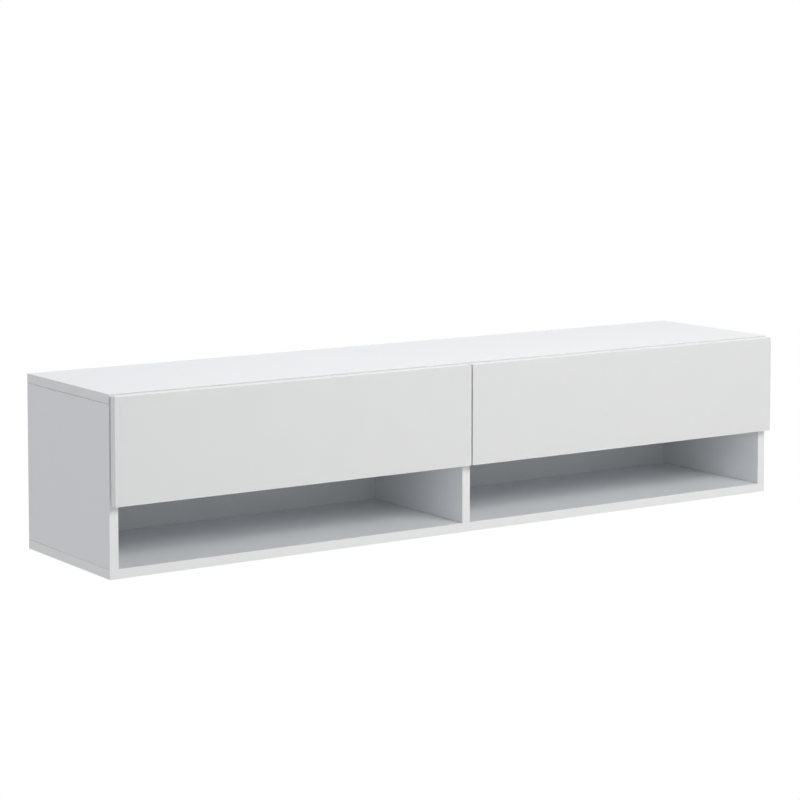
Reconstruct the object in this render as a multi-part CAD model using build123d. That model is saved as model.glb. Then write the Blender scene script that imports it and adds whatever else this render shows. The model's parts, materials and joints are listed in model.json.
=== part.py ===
from build123d import *
import os
from math import atan2, cos, degrees, hypot, radians, sin, sqrt

os.makedirs("parts", exist_ok=True)

# Floating media console, in millimetres. X runs to the right, +Y back into the wall, +Z up.
# The origin lies on the wall plane, in the middle of the wall rail's row of screw slots.

# Carcass boards
carcass_width = 1400.0
carcass_height = 300.0
carcass_depth = 297.0
board = 16.0
carcass_band = 1.0
carcass_band_radius = 0.5
niche_height = 104.0
back_thickness = 3.0
back_recess = 16.0
groove_depth = 7.0
groove_play = 0.1

# Flaps
flap_thickness = 16.0
flap_band = 2.0
flap_band_joint = 0.05
flap_edge_radius = 1.5
flap_front_radius = 0.8
flap_corner_radius = 2.0
flap_gap = 2.0
flap_inset = 2.0
flap_split = 3.0
flap_top_drop = 2.0
flap_open_angle = 90.0

# Concealed hinges
hinge_inset = 100.0
pivot_depth = 8.5
swing_clearance = 0.4
hinge_pin_radius = 1.25
hinge_pin_play = 0.05
hinge_pin_reach = 8.2
cup_radius = 17.5
cup_depth = 12.0
cup_wall = 0.8
cup_play = 0.05
cup_flange = 1.0
cup_ear_reach = 29.0
cup_ear_height = 13.0
cup_ear_offset = 9.5
cup_screw_reach = 22.5
nose_half_width = 4.0
nose_radius = 2.0
nose_play = 0.2
nose_thickness = 3.0
lug_play = 0.4
arm_lift = 0.45
arm_bridge = 2.4
arm_half_width = 8.0
arm_wall = 1.4
arm_front = 14.0
arm_length = 56.0
arm_height = 10.0
plate_setback = 37.0
plate_wing_reach = 22.0
plate_wing_depth = 13.0
plate_wing_height = 2.0
plate_rib_length = 44.0
plate_screw_reach = 16.0
arm_screw_setback = 48.0
adjuster_setback = 17.0

# Slotted flap stays
stay_thickness = 2.0
stay_half_width = 8.0
stay_wall_gap = 8.0
stay_drop = 47.5
stay_standoff = 10.0
stay_stud_angle = 60.0
stay_side_play = 0.3
stay_slot_play = 0.3
stay_slot_overrun = 1.0
stay_bush_radius = 4.0
stay_stud_radius = 2.5
stay_spacer_radius = 6.0
stay_base_radius = 14.0
stay_base_thickness = 2.0
stay_washer_radius = 8.0
stay_washer_thickness = 1.5
stay_nut_radius = 5.0
stay_nut_height = 4.0
rivet_radius = 3.0
rivet_play = 0.06
rivet_head_radius = 5.0
rivet_head_height = 1.5
bracket_thickness = 2.0
bracket_height = 26.0
bracket_foot = 24.0
bracket_screw_spacing = 14.0

# Push latches
latch_length = 62.0
latch_half_width = 8.0
latch_height = 15.0
latch_setback = 5.0
latch_ear_reach = 17.0
latch_ear_thickness = 3.0
latch_ear_depth = 14.0
plunger_radius = 4.0
plunger_play = 0.15
plunger_length = 34.0
plunger_rest_gap = 0.3
magnet_radius = 3.0
magnet_length = 4.0
strike_radius = 7.5
strike_thickness = 1.5
spring_radius = 2.7
spring_wire_radius = 0.35
spring_pitch = 2.4
spring_seat = 0.2

# Wall rail and hangers
rail_thickness = 2.0
rail_web_half_height = 14.0
rail_step = 6.0
rail_lip_height = 10.0
rail_end_gap = 2.0
rail_slot_half_width = 3.25
rail_slot_length = 14.0
rail_outer_spacing = 1200.0
rail_inner_spacing = 400.0
hook_width = 10.0
hook_bar = 5.5
hook_plate = 3.0
hook_tip_length = 8.0
hook_lip_gap = 0.5
hook_headroom = 2.5
hanger_width = 18.0
hanger_depth = 42.0
hanger_height = 56.0
hanger_wall = 2.0
hanger_cap = 2.0
hanger_screw_radius = 2.5
hanger_screw_head_radius = 3.2
hanger_screw_head = 3.0
hanger_screw_spacing = 30.0
hanger_port_radius = 3.6
hook_slot_play = 1.0

# Joinery
cam_radius = 7.5
cam_depth = 12.5
cam_reach = 24.0
cam_play = 0.1
cam_cap_radius = 8.8
cam_cap_thickness = 1.0
cam_bolt_thread_radius = 2.5
cam_bolt_thread = 11.0
cam_bolt_stem_radius = 3.5
cam_bolt_neck_radius = 2.2
cam_bolt_neck = 4.0
cam_bolt_head_radius = 3.3
edge_bore_radius = 4.0
dowel_radius = 4.0
dowel_face_depth = 10.0
dowel_edge_depth = 20.0
dowel_play = 0.05
board_screw_radius = 3.0
board_screw_length = 50.0
board_screw_head_radius = 4.8
board_screw_head = 3.5
front_fixing_setback = 40.0
middle_fixing_setback = 135.0
rear_fixing_setback = 85.0
shelf_rear_fixing_setback = 45.0

# Wood screws for the fittings
screw_radius = 1.9
screw_length = 12.0
screw_short_length = 7.0
screw_head_radius = 3.7
screw_head_height = 2.2
screw_play = 0.02
drive_width = 0.9
drive_length = 4.0
drive_depth = 1.1

# Levels and faces that follow from the sizes above
half_width = carcass_width / 2
inner_x = half_width - board
lip_top_z = rail_web_half_height + rail_thickness + rail_lip_height
ceiling_z = lip_top_z + hook_bar + hook_headroom
top_z = ceiling_z + board
bottom_z = top_z - carcass_height
floor_z = bottom_z + board
shelf_low_z = floor_z + niche_height
shelf_top_z = shelf_low_z + board
front_y = -carcass_depth
back_rear_y = -back_recess
back_face_y = back_rear_y - back_thickness
flap_back_y = front_y - flap_gap
flap_front_y = flap_back_y - flap_thickness
flap_low_z = shelf_low_z
flap_top_z = top_z - flap_top_drop
flap_width = (carcass_width - 2 * flap_inset - flap_split) / 2
flap_inner_x = -flap_split / 2
flap_outer_x = flap_inner_x - flap_width
flap_middle_x = (flap_inner_x + flap_outer_x) / 2
hinge_places = {"outer": flap_outer_x + hinge_inset, "inner": flap_inner_x - hinge_inset}

# The hinge pin sits inside the flap, as high as the flap's rounded lower corner can pass the carcass.
corner_reach = pivot_depth - flap_edge_radius
swing_reach = pivot_depth + flap_gap - flap_edge_radius - swing_clearance
pivot_rise = flap_edge_radius + sqrt(swing_reach ** 2 - corner_reach ** 2)
pivot_y = flap_back_y - pivot_depth
pivot_z = flap_low_z + pivot_rise
cup_inner_radius = cup_radius - cup_wall
cup_centre = sqrt(cup_inner_radius ** 2 - nose_half_width ** 2) - nose_radius - nose_play
shelf_above_pivot = shelf_top_z - pivot_z

# Heights above the pin that the hinge's arm and its mounting plate share
rim_reach = hypot(pivot_depth + cup_flange, cup_radius - cup_centre)
bridge_low = max(shelf_above_pivot, rim_reach) + arm_lift
channel_low = max(bridge_low + arm_bridge / 2, shelf_above_pivot + plate_wing_height + arm_lift)
channel_top = channel_low + arm_height

# The stay's pivot and its guide stud lie on one circle about the hinge pin, so that the stay
# always points at the stud while it turns at exactly half the flap's angle.
stay_pivot = (pivot_depth + stay_standoff, ceiling_z - pivot_z - stay_drop)
stay_circle = hypot(*stay_pivot)
stay_pivot_angle = degrees(atan2(stay_pivot[1], stay_pivot[0]))
stay_stud = (
    stay_circle * cos(radians(stay_stud_angle)),
    stay_circle * sin(radians(stay_stud_angle)),
)
stay_outer_x = stay_wall_gap - inner_x
stay_inner_x = stay_outer_x + stay_thickness
stay_pivot_at = (pivot_y + stay_pivot[0], pivot_z + stay_pivot[1])
stay_stud_at = (pivot_y + stay_stud[0], pivot_z + stay_stud[1])

# The closed flap holds the plunger of its push latch pressed in.
tip_y = flap_back_y + strike_thickness + plunger_rest_gap
tail_y = tip_y + plunger_length
housing_front_y = front_y + latch_setback
housing_rear_y = housing_front_y + latch_length
latch_z = ceiling_z - latch_height / 2


def block(x_range, y_range, z_range):
    """Box between the low and high values given for each axis."""
    ranges = (sorted(x_range), sorted(y_range), sorted(z_range))
    centre = [(low + high) / 2 for low, high in ranges]
    size = [high - low for low, high in ranges]
    return Pos(*centre) * Box(*size)


def peg(start, direction, radius, length):
    """Cylinder from a start point along a direction."""
    seat = Plane(origin=start, z_dir=direction)
    return seat.location * Cylinder(radius, length, align=(Align.CENTER, Align.CENTER, Align.MIN))


def along(start, direction, distance):
    """Point at a distance from another along a unit direction."""
    return tuple(s + d * distance for s, d in zip(start, direction))


def profile_across(points, x_range):
    """Solid with an outline in Y and Z, running from one X to the other."""
    low, high = sorted(x_range)
    outline = Plane.YZ.offset(low) * Polygon(*points, align=None)
    return extrude(outline, amount=high - low, dir=(1, 0, 0))


def group(shapes):
    """Separate solids kept side by side in one node."""
    return Compound([solid for shape in shapes for solid in shape.solids()])


def mirrored(shape):
    """The same piece on the other side of the console's middle plane."""
    return mirror(shape, about=Plane.YZ)


def drive_recess(seat, direction, height):
    """Cross-shaped driver recess in the outer end of a screw head."""
    plane = Plane(origin=along(seat, direction, -height), z_dir=direction)
    bar = Box(drive_length, drive_width, drive_depth, align=(Align.CENTER, Align.CENTER, Align.MIN))
    return plane.location * (bar + Rot(0, 0, 90) * bar)


def wood_screw(seat, direction, length):
    """Pan-head screw whose head stands on the seat and whose shank runs along the direction."""
    backwards = tuple(-d for d in direction)
    head = peg(seat, backwards, screw_head_radius, screw_head_height)
    shank = peg(seat, direction, screw_radius, length)
    return head + shank - drive_recess(seat, direction, screw_head_height)


def screw_bore(seat, direction, length):
    """Pilot hole that a wood screw fills."""
    return peg(seat, direction, screw_radius + screw_play, length + screw_play)


cuts = {}
fittings = {}


def cut_in(board_name, tool):
    """Note a hole or groove that is cut in a board."""
    cuts.setdefault(board_name, []).append(tool)


def add_fitting(node, solid):
    """Put a solid in a node that holds a group of like pieces."""
    fittings.setdefault(node, []).append(solid)


def fit_screw(node, board_name, seat, direction, length, depth_to_board=0.0):
    """Screw through a fitting into a board, with its pilot hole."""
    add_fitting(node, wood_screw(seat, direction, length))
    start = along(seat, direction, depth_to_board)
    cut_in(board_name, screw_bore(start, direction, length - depth_to_board))


def fit_cam(edge_board, face_board, joint, direction, outwards):
    """Cam fitting: a bolt in the face board, drawn tight by a cam let into the edge board."""
    backwards = tuple(-d for d in direction)
    inwards = tuple(-d for d in outwards)
    centre = along(joint, direction, cam_reach)
    mouth = along(centre, outwards, board / 2)
    passage = peg(joint, direction, edge_bore_radius, cam_reach)
    cut_in(edge_board, peg(mouth, inwards, cam_radius + cam_play, cam_depth + cam_play))
    cut_in(edge_board, passage)
    thread_bore = peg(joint, backwards, cam_bolt_thread_radius + screw_play, cam_bolt_thread + screw_play)
    cut_in(face_board, thread_bore)
    housing = peg(mouth, inwards, cam_radius, cam_depth) - passage
    housing -= drive_recess(mouth, inwards, 0.0)
    add_fitting("cam_housings", housing)
    add_fitting("cam_caps", peg(mouth, outwards, cam_cap_radius, cam_cap_thickness))
    head_start = cam_reach - cam_bolt_neck
    stem_length = head_start - cam_bolt_neck
    bolt = peg(joint, backwards, cam_bolt_thread_radius, cam_bolt_thread)
    bolt += peg(joint, direction, cam_bolt_stem_radius, stem_length)
    bolt += peg(along(joint, direction, stem_length), direction, cam_bolt_neck_radius, cam_bolt_neck)
    bolt += peg(along(joint, direction, head_start), direction, cam_bolt_head_radius, cam_bolt_neck / 2)
    return bolt


def fit_dowel(edge_board, face_board, joint, direction):
    """Beech dowel from a board's edge into the face of its neighbour."""
    start = along(joint, direction, -dowel_face_depth)
    length = dowel_face_depth + dowel_edge_depth
    bore = peg(start, direction, dowel_radius + dowel_play, length)
    add_fitting("dowels", peg(start, direction, dowel_radius, length))
    cut_in(edge_board, bore)
    cut_in(face_board, bore)


def fit_board_screw(edge_board, face_board, outer_face, direction):
    """One-piece chipboard screw through a board's face into its neighbour's edge."""
    head = peg(outer_face, direction, board_screw_head_radius, board_screw_head)
    shank = peg(outer_face, direction, board_screw_radius, board_screw_length)
    screw = head + shank - drive_recess(outer_face, direction, 0.0)
    add_fitting("board_screws", screw)
    bore = peg(outer_face, direction, board_screw_radius + screw_play, board_screw_length + screw_play)
    bore += peg(outer_face, direction, board_screw_head_radius + screw_play, board_screw_head)
    cut_in(face_board, bore)
    cut_in(edge_board, bore)


def join_upright(name, x, cam_side):
    """Join a side or the divider to the top with cams and to the bottom with screws from below."""
    up, down = (0, 0, 1), (0, 0, -1)
    for y in (front_y + front_fixing_setback, -rear_fixing_setback):
        add_fitting("cam_bolts", fit_cam(name, "top_panel", (x, y, ceiling_z), down, (cam_side, 0, 0)))
        fit_board_screw(name, "bottom_panel", (x, y, bottom_z), up)
    middle_y = front_y + middle_fixing_setback
    fit_dowel(name, "top_panel", (x, middle_y, ceiling_z), down)
    fit_dowel(name, "bottom_panel", (x, middle_y, floor_z), up)


def join_shelves():
    """Join both shelves to the sides and, through one bolt for each pair of cams, to the divider."""
    z = (shelf_low_z + shelf_top_z) / 2
    down = (0, 0, -1)
    for y in (front_y + front_fixing_setback, -shelf_rear_fixing_setback):
        for name, side_name, side in (("left_shelf", "left_side", -1), ("right_shelf", "right_side", 1)):
            outer = (side * inner_x, y, z)
            add_fitting("cam_bolts", fit_cam(name, side_name, outer, (-side, 0, 0), down))
        halves = [
            fit_cam("left_shelf", "centre_divider", (-board / 2, y, z), (-1, 0, 0), down),
            fit_cam("right_shelf", "centre_divider", (board / 2, y, z), (1, 0, 0), down),
        ]
        add_fitting("cam_bolts", halves[0] + halves[1])
    y = front_y + middle_fixing_setback
    for name, side_name, side in (("left_shelf", "left_side", -1), ("right_shelf", "right_side", 1)):
        fit_dowel(name, side_name, (side * inner_x, y, z), (-side, 0, 0))


def horizontal_board(z_low):
    """Top or bottom: a full-width board with its front and both ends banded, all with eased edges."""
    z_range = (z_low, z_low + board)
    core_x = (carcass_band - half_width, half_width - carcass_band)
    core_y = (front_y + carcass_band, 0)
    whole = block((-half_width, half_width), (front_y, 0), z_range)
    eased = whole.edges().filter_by(Axis.Y) + whole.faces().sort_by(Axis.Y)[0].edges()
    whole = fillet(eased, carcass_band_radius)
    core = whole & block(core_x, core_y, z_range)
    front = whole & block((-half_width, half_width), (front_y, core_y[0]), z_range)
    left = whole & block((-half_width, core_x[0]), core_y, z_range)
    return core, group([front, left, mirrored(left)])


def inner_board(x_range, y_rear, z_range):
    """Board between others, with only its front edge banded and that band's long edges eased."""
    core = block(x_range, (front_y + carcass_band, y_rear), z_range)
    band = block(x_range, (front_y, front_y + carcass_band), z_range)
    eased = band.faces().sort_by(Axis.Y)[0].edges().sort_by(SortBy.LENGTH)[-2:]
    return core, fillet(eased, carcass_band_radius)


def groove_for_back():
    """The groove that holds the back panel, as one flat tool a little larger than the panel."""
    reach = groove_depth + groove_play
    return block(
        (-inner_x - reach, inner_x + reach),
        (back_face_y - groove_play, back_rear_y + groove_play),
        (floor_z - reach, ceiling_z + reach),
    )


def make_carcass():
    """The boards of the carcass and their edge bands, before any hole is cut."""
    upright = (floor_z, ceiling_z)
    shelf = (shelf_low_z, shelf_top_z)
    boards, bands = {}, {}
    boards["top_panel"], bands["top_edge_bands"] = horizontal_board(ceiling_z)
    boards["bottom_panel"], bands["bottom_edge_bands"] = horizontal_board(bottom_z)
    boards["left_side"], left_band = inner_board((-half_width, -inner_x), 0, upright)
    boards["right_side"] = mirrored(boards["left_side"])
    divider_x = (-board / 2, board / 2)
    boards["centre_divider"], divider_band = inner_board(divider_x, back_face_y - groove_play, upright)
    shelf_x = (-inner_x, -board / 2)
    boards["left_shelf"], shelf_band = inner_board(shelf_x, back_face_y - groove_play, shelf)
    boards["right_shelf"] = mirrored(boards["left_shelf"])
    bands["upright_edge_bands"] = group([left_band, divider_band, mirrored(left_band)])
    bands["shelf_edge_bands"] = group([shelf_band, mirrored(shelf_band)])
    boards["back_panel"] = block(
        (-inner_x - groove_depth, inner_x + groove_depth),
        (back_face_y, back_rear_y),
        (floor_z - groove_depth, ceiling_z + groove_depth),
    )
    for name in ("top_panel", "bottom_panel", "left_side", "right_side"):
        cut_in(name, groove_for_back())
    return boards, bands


def make_flap():
    """The left flap's board and its four edge bands, crisp in front and well rounded behind for the swing."""
    x_range = (flap_outer_x, flap_inner_x)
    y_range = (flap_front_y, flap_back_y)
    z_range = (flap_low_z, flap_top_z)
    whole = block(x_range, y_range, z_range)
    whole = fillet(whole.edges().filter_by(Axis.Y), flap_corner_radius)
    whole = fillet(whole.faces().sort_by(Axis.Y)[0].edges(), flap_front_radius)
    whole = fillet(whole.faces().sort_by(Axis.Y)[-1].edges(), flap_edge_radius)
    core_x = (flap_outer_x + flap_band, flap_inner_x - flap_band)
    core_z = (flap_low_z + flap_band, flap_top_z - flap_band)
    core = whole & block(core_x, y_range, core_z)
    end_z = (core_z[0] + flap_band_joint, core_z[1] - flap_band_joint)
    bands = []
    for ends in ((flap_outer_x, core_x[0]), (core_x[1], flap_inner_x)):
        bands.append(whole & block(ends, y_range, end_z))
    for edges in ((flap_low_z, core_z[0]), (core_z[1], flap_top_z)):
        bands.append(whole & block(x_range, y_range, edges))
    return core, group(bands)


def make_hinge_cup(place):
    """Cup let into the flap's back, with its flange, its two ears and the lugs that hold the pin."""
    mouth = (place, flap_back_y, pivot_z + cup_centre)
    bottom_y = flap_back_y - cup_depth
    flange_y = flap_back_y + cup_flange
    outside = peg(mouth, (0, -1, 0), cup_radius, cup_depth)
    rim = peg(mouth, (0, 1, 0), cup_radius, cup_flange)
    ear_z = mouth[2] + cup_ear_offset
    ears = block(
        (place - cup_ear_reach, place + cup_ear_reach),
        (flap_back_y, flange_y),
        (ear_z - cup_ear_height / 2, ear_z + cup_ear_height / 2),
    )
    ears = fillet(ears.edges().filter_by(Axis.Y), cup_ear_height / 3)
    cavity = peg((place, flange_y, mouth[2]), (0, -1, 0), cup_inner_radius, cup_depth + cup_flange - cup_wall)
    lug_inside = nose_half_width + lug_play
    lugs = block(
        (place - cup_inner_radius, place + cup_inner_radius),
        (bottom_y + cup_wall, pivot_y + nose_radius),
        (pivot_z - cup_radius, pivot_z + nose_radius),
    )
    lugs -= block(
        (place - lug_inside, place + lug_inside),
        (bottom_y, flange_y),
        (pivot_z - cup_radius, pivot_z + cup_radius),
    )
    cup = outside + rim + ears - cavity + (lugs & cavity)
    cup -= make_hinge_pin(place, hinge_pin_radius + screw_play)
    for side in (-1, 1):
        seat = (place + side * cup_screw_reach, flange_y, ear_z)
        cup -= peg(seat, (0, -1, 0), screw_radius + screw_play, cup_flange)
        fit_screw("left_flap_fixings", "left_flap", seat, (0, -1, 0), screw_length, cup_flange)
    cut_in("left_flap", peg(mouth, (0, -1, 0), cup_radius + cup_play, cup_depth + cup_play))
    return cup


def make_hinge_pin(place, radius):
    """Steel pin on which the flap turns, held by its ends in the cup."""
    return peg((place - hinge_pin_reach, pivot_y, pivot_z), (1, 0, 0), radius, 2 * hinge_pin_reach)


def make_hinge_arm(place):
    """Arm: a nose down into the cup to the pin, a bridge over the shelf's edge and a channel behind."""
    bridge_top = bridge_low + arm_bridge
    nose_back = nose_thickness - nose_radius
    outline = [
        (-nose_radius, 0),
        (-nose_radius, bridge_top - arm_bridge / 2),
        (-nose_radius + arm_bridge / 2, bridge_top),
        (arm_front + arm_wall, bridge_top),
        (arm_front + arm_wall, bridge_low),
        (nose_back + arm_bridge / 4, bridge_low),
        (nose_back, bridge_low - arm_bridge / 4),
        (nose_back, 0),
    ]
    points = [(pivot_y + back, pivot_z + up) for back, up in outline]
    nose_x = (place - nose_half_width, place + nose_half_width)
    nose = profile_across(points, nose_x)
    nose += peg((nose_x[0], pivot_y, pivot_z), (1, 0, 0), nose_radius, 2 * nose_half_width)
    front, rear = pivot_y + arm_front, pivot_y + arm_front + arm_length
    channel = block(
        (place - arm_half_width, place + arm_half_width),
        (front, rear),
        (pivot_z + bridge_low, pivot_z + channel_top),
    )
    channel = fillet(channel.edges().filter_by(Axis.Z), arm_wall)
    channel -= block(
        (place - arm_half_width, place + arm_half_width),
        (front + arm_wall, rear),
        (pivot_z + bridge_low, pivot_z + channel_low),
    )
    channel -= block(
        (place - arm_half_width + arm_wall, place + arm_half_width - arm_wall),
        (front + arm_wall, rear),
        (pivot_z + bridge_low, pivot_z + channel_top - arm_wall),
    )
    arm = nose + channel - make_hinge_pin(place, hinge_pin_radius + hinge_pin_play)
    for setback in (arm_screw_setback, adjuster_setback):
        seat = (place, pivot_y + arm_front + setback, pivot_z + channel_top)
        arm -= peg(seat, (0, 0, -1), screw_radius + screw_play, arm_wall)
        add_fitting("hinge_screws", wood_screw(seat, (0, 0, -1), arm_height / 2))
    return arm


def make_hinge_plate(place):
    """Cross-shaped mounting plate screwed to the shelf, with the rib that carries the arm."""
    middle_y = front_y + plate_setback
    rib_top = pivot_z + channel_top - arm_wall
    wings = block(
        (place - plate_wing_reach, place + plate_wing_reach),
        (middle_y - plate_wing_depth / 2, middle_y + plate_wing_depth / 2),
        (shelf_top_z, shelf_top_z + plate_wing_height),
    )
    wings = fillet(wings.edges().filter_by(Axis.Z), plate_wing_depth / 3)
    rib_half_width = arm_half_width - arm_wall - nose_play
    rib = block(
        (place - rib_half_width, place + rib_half_width),
        (middle_y - plate_rib_length / 2, middle_y + plate_rib_length / 2),
        (shelf_top_z, rib_top),
    )
    plate = wings + fillet(rib.edges().filter_by(Axis.Z), arm_wall)
    for setback in (arm_screw_setback, adjuster_setback):
        seat = (place, pivot_y + arm_front + setback, rib_top)
        plate -= peg(seat, (0, 0, -1), screw_radius + screw_play, arm_height / 2 - arm_wall + screw_play)
    for side in (-1, 1):
        seat = (place + side * plate_screw_reach, middle_y, shelf_top_z + plate_wing_height)
        plate -= peg(seat, (0, 0, -1), screw_radius + screw_play, plate_wing_height)
        fit_screw("hinge_screws", "left_shelf", seat, (0, 0, -1), screw_length, plate_wing_height)
    return plate


def chord_to_stud(flap_angle):
    """Distance from the stay's pivot to its guide stud with the flap open by an angle."""
    return 2 * stay_circle * sin(radians(stay_pivot_angle + flap_angle - stay_stud_angle) / 2)


def make_stay_arm():
    """Flat steel arm that hangs on the flap's bracket and slides over the stud in its long slot."""
    tilt = degrees(atan2(stay_stud[1] - stay_pivot[1], stay_stud[0] - stay_pivot[0]))
    near, far = chord_to_stud(0), chord_to_stud(flap_open_angle)
    slot_half_width = stay_bush_radius + stay_slot_play
    slot_near = near - slot_half_width - stay_slot_overrun
    slot_far = far + slot_half_width + stay_slot_overrun
    arm_far = slot_far + stay_half_width - slot_half_width
    arm_shape = Pos((arm_far - stay_half_width) / 2, 0) * SlotOverall(
        arm_far + stay_half_width, 2 * stay_half_width
    )
    arm_shape -= Pos((slot_near + slot_far) / 2, 0) * SlotOverall(slot_far - slot_near, 2 * slot_half_width)
    arm_shape -= Circle(rivet_radius + rivet_play)
    side_plane = Plane(origin=(stay_outer_x, *stay_pivot_at), x_dir=(0, 1, 0), z_dir=(1, 0, 0))
    return extrude(side_plane * (Rot(0, 0, tilt) * arm_shape), amount=stay_thickness)


def make_stay_bracket():
    """Angle bracket on the flap's back whose upright lug carries the stay's rivet."""
    lug_outer = stay_inner_x + stay_side_play
    lug_inner = lug_outer + bracket_thickness
    foot_inner = lug_inner + bracket_foot
    z = stay_pivot_at[1]
    z_range = (z - bracket_height / 2, z + bracket_height / 2)
    foot = block((lug_outer, foot_inner), (flap_back_y, flap_back_y + bracket_thickness), z_range)
    foot = fillet(foot.edges().filter_by(Axis.Y).group_by(Axis.X)[-1], bracket_thickness)
    lug_z = (z - stay_half_width, z + stay_half_width)
    lug = block((lug_outer, lug_inner), (flap_back_y, stay_pivot_at[0]), lug_z)
    lug += peg((lug_outer, *stay_pivot_at), (1, 0, 0), stay_half_width, bracket_thickness)
    rivet_bore = peg((lug_outer, *stay_pivot_at), (1, 0, 0), rivet_radius + screw_play, bracket_thickness)
    bracket = foot + lug - rivet_bore
    screw_x = (lug_inner + foot_inner) / 2
    for side in (-1, 1):
        seat = (screw_x, flap_back_y + bracket_thickness, z + side * bracket_screw_spacing / 2)
        bracket -= peg(seat, (0, -1, 0), screw_radius + screw_play, bracket_thickness)
        fit_screw("left_flap_fixings", "left_flap", seat, (0, -1, 0), screw_length, bracket_thickness)
    return bracket


def make_stay_rivet():
    """Rivet through the bracket's lug and the stay, with a head at each end."""
    head_outer = stay_outer_x - stay_side_play
    lug_inner = stay_inner_x + stay_side_play + bracket_thickness
    shaft = peg((head_outer, *stay_pivot_at), (1, 0, 0), rivet_radius, lug_inner - head_outer)
    outer_head = peg((head_outer, *stay_pivot_at), (-1, 0, 0), rivet_head_radius, rivet_head_height)
    inner_head = peg((lug_inner, *stay_pivot_at), (1, 0, 0), rivet_head_radius, rivet_head_height)
    return shaft + outer_head + inner_head


def make_stay_stud():
    """Guide stud on the side: base, spacer, core through the bush, washer and brake nut."""
    wall = -inner_x
    bush_start, bush_end = stay_outer_x - stay_side_play, stay_inner_x + stay_side_play
    washer_end = bush_end + stay_washer_thickness
    solid = peg((wall, *stay_stud_at), (1, 0, 0), stay_base_radius, stay_base_thickness)
    solid += peg((wall, *stay_stud_at), (1, 0, 0), stay_spacer_radius, bush_start - wall)
    solid += peg((bush_start, *stay_stud_at), (1, 0, 0), stay_stud_radius, washer_end - bush_start)
    solid += peg((bush_end, *stay_stud_at), (1, 0, 0), stay_washer_radius, stay_washer_thickness)
    nut_plane = Plane(origin=(washer_end, *stay_stud_at), z_dir=(1, 0, 0))
    solid += extrude(nut_plane * RegularPolygon(stay_nut_radius, 6), amount=stay_nut_height)
    screw_reach = (stay_base_radius + stay_spacer_radius) / 2
    for side in (-1, 1):
        seat = (wall + stay_base_thickness, stay_stud_at[0], stay_stud_at[1] + side * screw_reach)
        solid -= peg(seat, (-1, 0, 0), screw_radius + screw_play, stay_base_thickness)
        fit_screw("cabinet_screws", "left_side", seat, (-1, 0, 0), screw_length, stay_base_thickness)
    return solid


def make_stay_bush():
    """Nylon bush on the stud, which the stay's slot slides over."""
    start = stay_outer_x - stay_side_play
    length = stay_thickness + 2 * stay_side_play
    ring = peg((start, *stay_stud_at), (1, 0, 0), stay_bush_radius, length)
    return ring - peg((start, *stay_stud_at), (1, 0, 0), stay_stud_radius + screw_play, length)


def make_latch_housing():
    """Latch housing under the top, bored for the plunger and its spring, with two screw ears."""
    body = block(
        (flap_middle_x - latch_half_width, flap_middle_x + latch_half_width),
        (housing_front_y, housing_rear_y),
        (ceiling_z - latch_height, ceiling_z),
    )
    body = fillet(body.edges().filter_by(Axis.Y).group_by(Axis.Z)[0], latch_ear_thickness)
    ear_y = (housing_front_y + housing_rear_y) / 2
    ears = block(
        (flap_middle_x - latch_ear_reach, flap_middle_x + latch_ear_reach),
        (ear_y - latch_ear_depth / 2, ear_y + latch_ear_depth / 2),
        (ceiling_z - latch_ear_thickness, ceiling_z),
    )
    housing = body + fillet(ears.edges().filter_by(Axis.Z), latch_ear_thickness)
    mouth = (flap_middle_x, housing_front_y, latch_z)
    housing -= peg(mouth, (0, 1, 0), plunger_radius + plunger_play, latch_length - latch_ear_thickness)
    screw_reach = (latch_ear_reach + latch_half_width) / 2
    for side in (-1, 1):
        seat = (flap_middle_x + side * screw_reach, ear_y, ceiling_z - latch_ear_thickness)
        housing -= peg(seat, (0, 0, 1), screw_radius + screw_play, latch_ear_thickness)
        fit_screw("cabinet_screws", "top_panel", seat, (0, 0, 1), screw_length, latch_ear_thickness)
    return housing


def make_latch_plunger():
    """Plunger with a rounded nose and a pocket in it for the magnet."""
    start = (flap_middle_x, tip_y, latch_z)
    plunger = peg(start, (0, 1, 0), plunger_radius, plunger_length)
    plunger = fillet(plunger.edges().group_by(Axis.Y)[0], plunger_radius - magnet_radius - spring_wire_radius)
    return plunger - peg(start, (0, 1, 0), magnet_radius + screw_play, magnet_length + screw_play)


def make_latch_magnet():
    """Round magnet in the plunger's tip, which holds the strike plate."""
    return peg((flap_middle_x, tip_y, latch_z), (0, 1, 0), magnet_radius, magnet_length)


def make_latch_spring():
    """Coil spring between the plunger's tail and the closed end of the housing's bore."""
    start = tail_y + spring_wire_radius + spring_seat
    end = housing_rear_y - latch_ear_thickness - spring_wire_radius - spring_seat
    coil = Helix(pitch=spring_pitch, height=end - start, radius=spring_radius)
    wire_plane = Plane(origin=coil @ 0, z_dir=coil % 0)
    spring = sweep(wire_plane * Circle(spring_wire_radius), path=coil, is_frenet=True)
    bore_plane = Plane(origin=(flap_middle_x, start, latch_z), z_dir=(0, 1, 0))
    return bore_plane.location * spring


def make_strike_plate():
    """Steel disc screwed to the flap's back, opposite the plunger."""
    back = (flap_middle_x, flap_back_y, latch_z)
    disc = peg(back, (0, 1, 0), strike_radius, strike_thickness)
    bore = peg(back, (0, 1, 0), screw_radius + screw_play, strike_thickness)
    sunk = along(back, (0, 1, 0), strike_thickness)
    cone = Plane(origin=sunk, z_dir=(0, -1, 0)).location * Cone(
        screw_head_radius, screw_radius, strike_thickness, align=(Align.CENTER, Align.CENTER, Align.MIN)
    )
    shank = peg(sunk, (0, -1, 0), screw_radius, screw_length)
    screw = cone + shank - drive_recess(sunk, (0, -1, 0), 0.0)
    add_fitting("left_flap_fixings", screw)
    cut_in("left_flap", screw_bore(back, (0, -1, 0), screw_length - strike_thickness))
    return disc - bore - cone


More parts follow.
